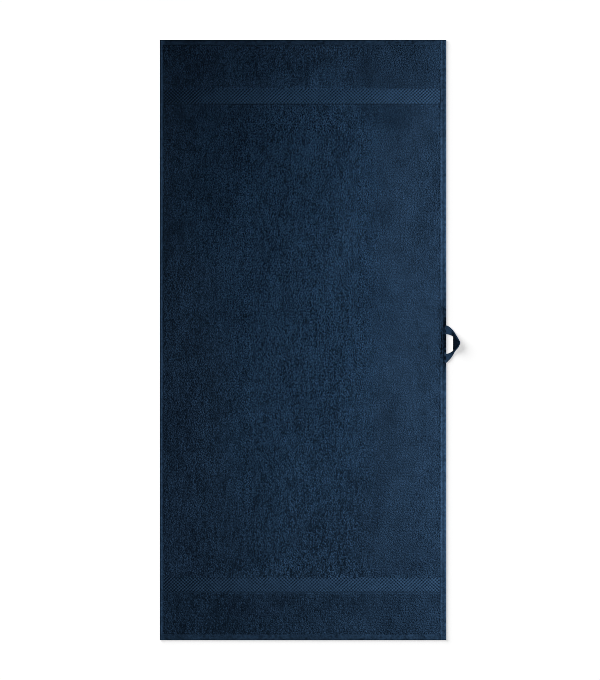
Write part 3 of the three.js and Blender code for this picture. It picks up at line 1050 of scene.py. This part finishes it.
# A tube round the tape: upper face from edge to edge, then the lower face back.
def tapePiece():
    half = tape["thickness"] / 2
    rows = [tapeRows(rise) for rise in (-half, 0.0, half)]
    count, columns = len(rows[0]), tape["columns"]
    c = np.linspace(0, 1, columns + 1)
    fromEdge = np.minimum(c, 1 - c) / tape["edgeRound"]
    edge = np.sqrt(np.clip(1 - (1 - np.clip(fromEdge, 0, 1)) ** 2, 0, 1))
    steps = np.linalg.norm(np.diff(rows[1].mean(1), axis=0), axis=1)
    length = np.concatenate([[0], np.cumsum(steps)])
    fromMiddle = np.abs(c[None, :] - 0.5) * tape["width"]
    ribs = np.sin(2 * np.pi * (length[:, None] + fromMiddle) / tape["ribPitch"])
    share = np.concatenate([c, c[-2:0:-1]])
    rise = np.concatenate([edge, -edge[-2:0:-1]])[None, :] * half
    rib = np.concatenate([ribs, ribs[:, -2:0:-1]], 1)
    rise = rise + np.sign(rise) * tape["ribRise"] * (rib - 1) / 2 * np.minimum(1, np.abs(rise) / half)
    ends = {}
    for key, face in zip(("low", "mid", "high"), rows):
        first, last = face[:, None, 0, :], face[:, None, 1, :]
        ends[key] = first * (1 - share)[None, :, None] + last * share[None, :, None]
    lift = (rise / half)[..., None]
    flat = np.where(lift > 0, ends["mid"] + (ends["high"] - ends["mid"]) * lift,
                    ends["mid"] + (ends["mid"] - ends["low"]) * lift)
    points = bowed(lifted(flat))
    faces, corners = copied(*tubeFaces(count, len(share), tape["map"]))
    weave = wovenMaterial("wovenTape", tape, "rib")
    values = {"rib": rib.ravel() * 0.5}
    piece = makePiece("hanging_loop_tape", points.reshape(-1, 3), faces, corners, weave, values)
    print("tape: length along its middle", round(float(length[-1]), 1), "mm")
    return piece


tapeLoop = tapePiece()
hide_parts("hanging_loop")


# Floor, lights and world

studio = {
    "roomStrength": 0.02,
    "floorWhite": 0.9,
    "floorGlow": 0.63,
    "sunBack": (-0.75, 0.6, 0.42),  # towards the low sun that shades the floor beside the cloth
    "sunAngle": np.radians(50),
    "sunStrength": 3.3,
    "floorHalf": 6.0,
    "floorLevel": -0.0004,
    # Lamps with their places and sizes in metres, and the direction of their longer side
    "key": {"place": (0.62, 0.03, 0.30), "aim": (0, 0.015, 0), "length": (-0.05, 1, 0),
            "size": (0.22, 1.1), "watts": 43},
    "fill": {"place": (-0.07, -0.5, 0.77), "aim": (0, 0, 0), "length": (1, 0, 0),
             "size": (0.6, 0.6), "watts": 9.5},
}


# A lamp that lights the floor alone, or all but the floor.
def addLamp(data, state):
    lamp = bpy.data.objects.new(data.name, data)
    lamp.visible_camera = False
    bpy.context.scene.collection.objects.link(lamp)
    group = bpy.data.collections.new(data.name + "Lit")
    group.objects.link(floor)
    group.collection_objects[0].light_linking.link_state = state
    lamp.light_linking.receiver_collection = group
    return lamp


# An area light that faces its aim, with its long side along the given direction.
def addLight(name, light):
    data = bpy.data.lights.new(name, "AREA")
    data.shape = "RECTANGLE"
    data.size, data.size_y = light["size"]
    data.energy = light["watts"]
    back = (Vector(light["place"]) - Vector(light["aim"])).normalized()
    length = Vector(light["length"])
    length = (length - back * length.dot(back)).normalized()
    turn = Matrix((length.cross(back), length, back)).transposed()
    lamp = addLamp(data, "EXCLUDE")
    lamp.matrix_world = Matrix.Translation(light["place"]) @ turn.to_4x4()


# A wide low sun for the floor, whose soft shadow falls to the right and below the cloth.
def addSun():
    data = bpy.data.lights.new("floorSun", "SUN")
    data.energy = studio["sunStrength"]
    data.angle = studio["sunAngle"]
    lamp = addLamp(data, "INCLUDE")
    lamp.rotation_euler = Vector(studio["sunBack"]).to_track_quat("Z", "Y").to_euler()


# A wide square just below the cloth, nearly white and glowing a little.
def addFloor():
    half, level = studio["floorHalf"], studio["floorLevel"]
    mesh = bpy.data.meshes.new("floor")
    corners = [(-half, -half, level), (half, -half, level), (half, half, level), (-half, half, level)]
    mesh.from_pydata(corners, [], [(0, 1, 2, 3)])
    material, tree, shader = newMaterial("paleFloor")
    shader.inputs["Base Color"].default_value = (studio["floorWhite"],) * 3 + (1,)
    shader.inputs["Emission Color"].default_value = (1, 1, 1, 1)
    shader.inputs["Emission Strength"].default_value = studio["floorGlow"]
    material.cycles.emission_sampling = "NONE"  # it lights only the edges, so no ray looks for it
    mesh.materials.append(material)
    floor = bpy.data.objects.new("floor", mesh)
    bpy.context.scene.collection.objects.link(floor)
    return floor


# Soft fill for the object, and plain white where the camera sees past the floor.
def addWorld():
    world = bpy.data.worlds.new("softRoom")
    world.use_nodes = True
    tree = world.node_tree
    ray = addNode(tree, "ShaderNodeLightPath").outputs["Is Camera Ray"]
    strength = addNode(tree, "ShaderNodeMix", {"data_type": "FLOAT"}, {
        0: ray, 2: studio["roomStrength"], 3: 1.0}).outputs[0]
    background = tree.nodes["Background"]
    background.inputs["Color"].default_value = (1, 1, 1, 1)
    tree.links.new(strength, background.inputs["Strength"])
    bpy.context.scene.world = world


floor = addFloor()
addWorld()
addLight("key", studio["key"])
addLight("fill", studio["fill"])
addSun()
bpy.context.scene.view_settings.view_transform = "Standard"
bpy.context.scene.cycles.pixel_filter_type = "BOX"
